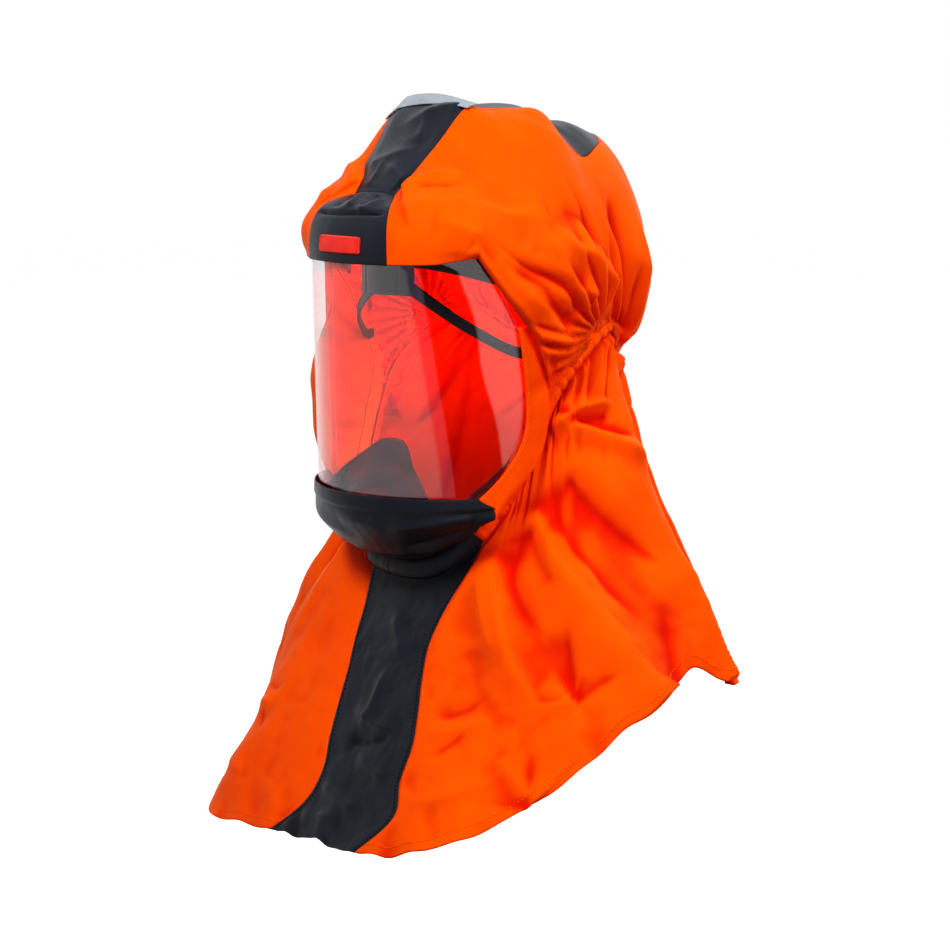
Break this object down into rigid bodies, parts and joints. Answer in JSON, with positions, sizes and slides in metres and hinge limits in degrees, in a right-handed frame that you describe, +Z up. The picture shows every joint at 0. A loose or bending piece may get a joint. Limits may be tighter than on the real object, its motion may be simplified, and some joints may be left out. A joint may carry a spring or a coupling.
{
  "type": "respirator hood",
  "caption": "Loose cloth respirator hood with a bent clear visor, black crown stripe, chin panel and bib, a gathered neck and a cape over the shoulders.",
  "frame": {"origin": "middle of the wearer's head at brow level, where the harness carries the hood", "axes": "+Z up, -Y the way the face looks, +X the wearer's left"},
  "size_m": [0.4216, 0.349, 0.5584],
  "materials": {
    "orange_cloth": "coated polyamide cloth, matt",
    "black_cloth": "coated cloth with a soft gloss",
    "grey_tape": "woven tape",
    "red_label": "plain woven label",
    "clear_sheet": "clear bent plastic sheet",
    "black_plastic": "moulded plastic, satin"
  },
  "bodies": {
    "root": {"visor": "clear_sheet", "visor_frame_left": "orange_cloth", "visor_frame_right": "orange_cloth", "brow_patch": "black_cloth", "brow_label": "red_label", "crown_stripe": "black_cloth", "crown_tape": "grey_tape", "side_panel_left": "orange_cloth", "side_panel_right": "orange_cloth", "back_panel": "orange_cloth", "chin_panel": "black_cloth", "neck_band": "black_cloth", "neck_casing": "orange_cloth", "neck_seal": "black_cloth", "bib": "black_cloth", "cape_left": "orange_cloth", "cape_right": "orange_cloth", "brow_bracket": "black_plastic", "temple_strap_left": "black_plastic", "temple_strap_right": "black_plastic", "cheek_strap_left": "black_plastic", "cheek_strap_right": "black_plastic", "air_inlet": "black_plastic"}
  },
  "joints": []
}
